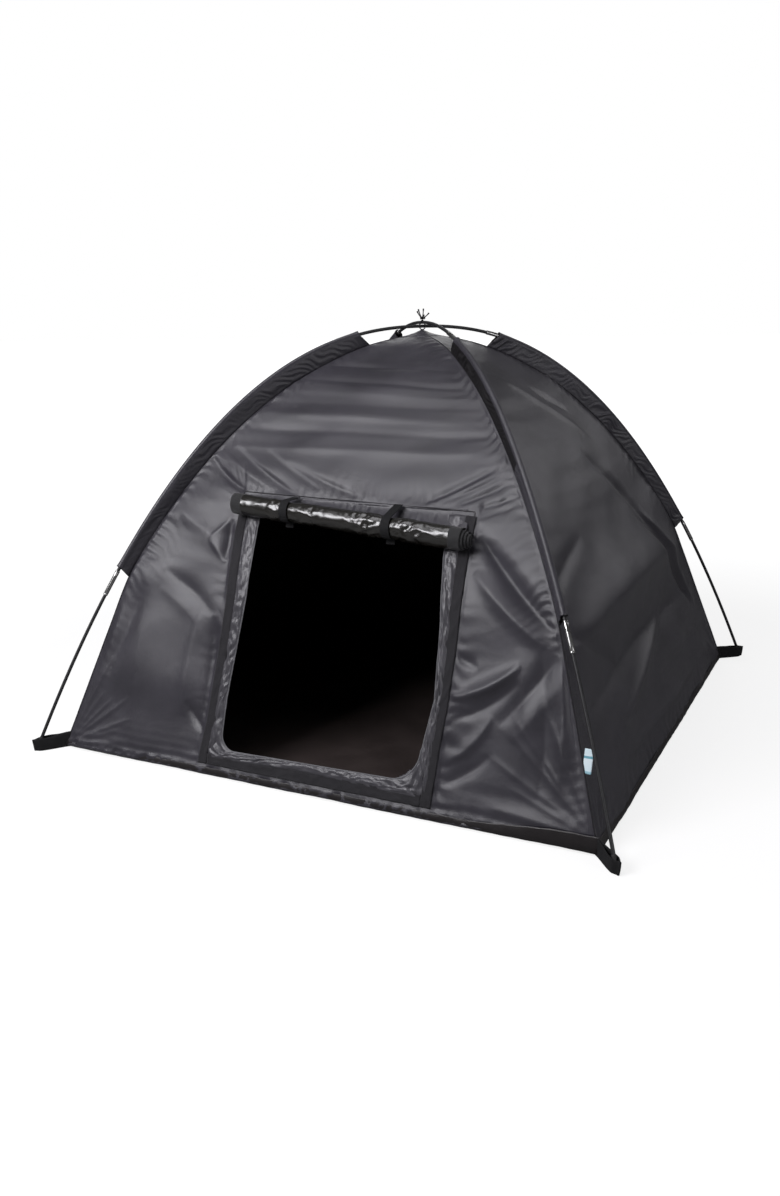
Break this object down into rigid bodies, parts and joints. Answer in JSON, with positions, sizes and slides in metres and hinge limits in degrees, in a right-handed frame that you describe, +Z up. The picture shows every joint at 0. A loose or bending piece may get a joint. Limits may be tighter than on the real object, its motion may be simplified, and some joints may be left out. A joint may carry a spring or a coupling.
{
  "type": "blackout dome tent",
  "caption": "Free-standing lightproof dome tent for changing film: crossed flexible poles in ridge sleeves, fabric walls, and a rolled-up door with ties.",
  "frame": {"origin": "on the ground at the centre of the floor", "axes": "+Z up, the door faces -Y, +X to the right seen from the door"},
  "size_m": [1.3326, 1.3326, 0.9355],
  "materials": {
    "shell_fabric": "charcoal coated nylon taffeta, satin",
    "door_fabric": "black coated door fabric, glossy side out",
    "floor_fabric": "brown-black coated floor sheet",
    "webbing": "black ribbed polypropylene webbing",
    "binding": "black seam binding",
    "hook_tape": "black hook-and-loop tape",
    "tie_cord": "black braided cord",
    "piping": "dark grey folded edge binding",
    "label": "white and pale blue woven label, no text",
    "pole": "black glass-fibre rod",
    "ferrule": "plain steel tube",
    "pole_tip": "black end cap"
  },
  "bodies": {
    "tent": {"pole_a_section_1": "pole", "pole_a_section_2": "pole", "pole_a_section_3": "pole", "pole_a_section_4": "pole", "pole_a_section_5": "pole", "pole_a_section_6": "pole", "pole_a_section_7": "pole", "pole_b_section_1": "pole", "pole_b_section_2": "pole", "pole_b_section_3": "pole", "pole_b_section_4": "pole", "pole_b_section_5": "pole", "pole_b_section_6": "pole", "pole_b_section_7": "pole", "pole_a_ferrule_1": "ferrule", "pole_a_ferrule_2": "ferrule", "pole_a_ferrule_3": "ferrule", "pole_a_ferrule_4": "ferrule", "pole_a_ferrule_5": "ferrule", "pole_a_ferrule_6": "ferrule", "pole_b_ferrule_1": "ferrule", "pole_b_ferrule_2": "ferrule", "pole_b_ferrule_3": "ferrule", "pole_b_ferrule_4": "ferrule", "pole_b_ferrule_5": "ferrule", "pole_b_ferrule_6": "ferrule", "pole_a_tip_1": "pole_tip", "pole_a_tip_2": "pole_tip", "pole_b_tip_1": "pole_tip", "pole_b_tip_2": "pole_tip", "front_wall": "shell_fabric", "right_wall": "shell_fabric", "back_wall": "shell_fabric", "left_wall": "shell_fabric", "crown_patch": "shell_fabric", "sleeve_front_left": "shell_fabric", "ridge_binding_front_left": "binding", "foot_loop_front_left": "webbing", "sleeve_front_right": "shell_fabric", "ridge_binding_front_right": "binding", "foot_loop_front_right": "webbing", "sleeve_back_right": "shell_fabric", "ridge_binding_back_right": "binding", "foot_loop_back_right": "webbing", "sleeve_back_left": "shell_fabric", "ridge_binding_back_left": "binding", "foot_loop_back_left": "webbing", "groundsheet": "floor_fabric", "crown_tie": "tie_cord", "hook_tape_left": "hook_tape", "hook_tape_right": "hook_tape", "hook_tape_bottom": "hook_tape", "opening_piping": "piping", "care_label": "label"},
    "door_roll": {"door_roll": "door_fabric", "tie_left_band": "webbing", "tie_right_band": "webbing"},
    "tie_left_tail": {"tie_left_tail": "webbing"},
    "tie_right_tail": {"tie_right_tail": "webbing"}
  },
  "joints": [
    {"name": "door_roll_hinge", "type": "hinge", "parent": "tent", "child": "door_roll", "pos_m": [0.041, -0.40199, 0.56], "axis": [-1, 0, 0], "range_deg": [0, 75]},
    {"name": "tie_left_peel", "type": "hinge", "parent": "door_roll", "child": "tie_left_tail", "pos_m": [-0.103, -0.46501, 0.52754], "axis": [-1, 0, 0], "range_deg": [0, 120]},
    {"name": "tie_right_peel", "type": "hinge", "parent": "door_roll", "child": "tie_right_tail", "pos_m": [0.132, -0.47102, 0.50886], "axis": [-1, 0, 0], "range_deg": [0, 120]}
  ]
}
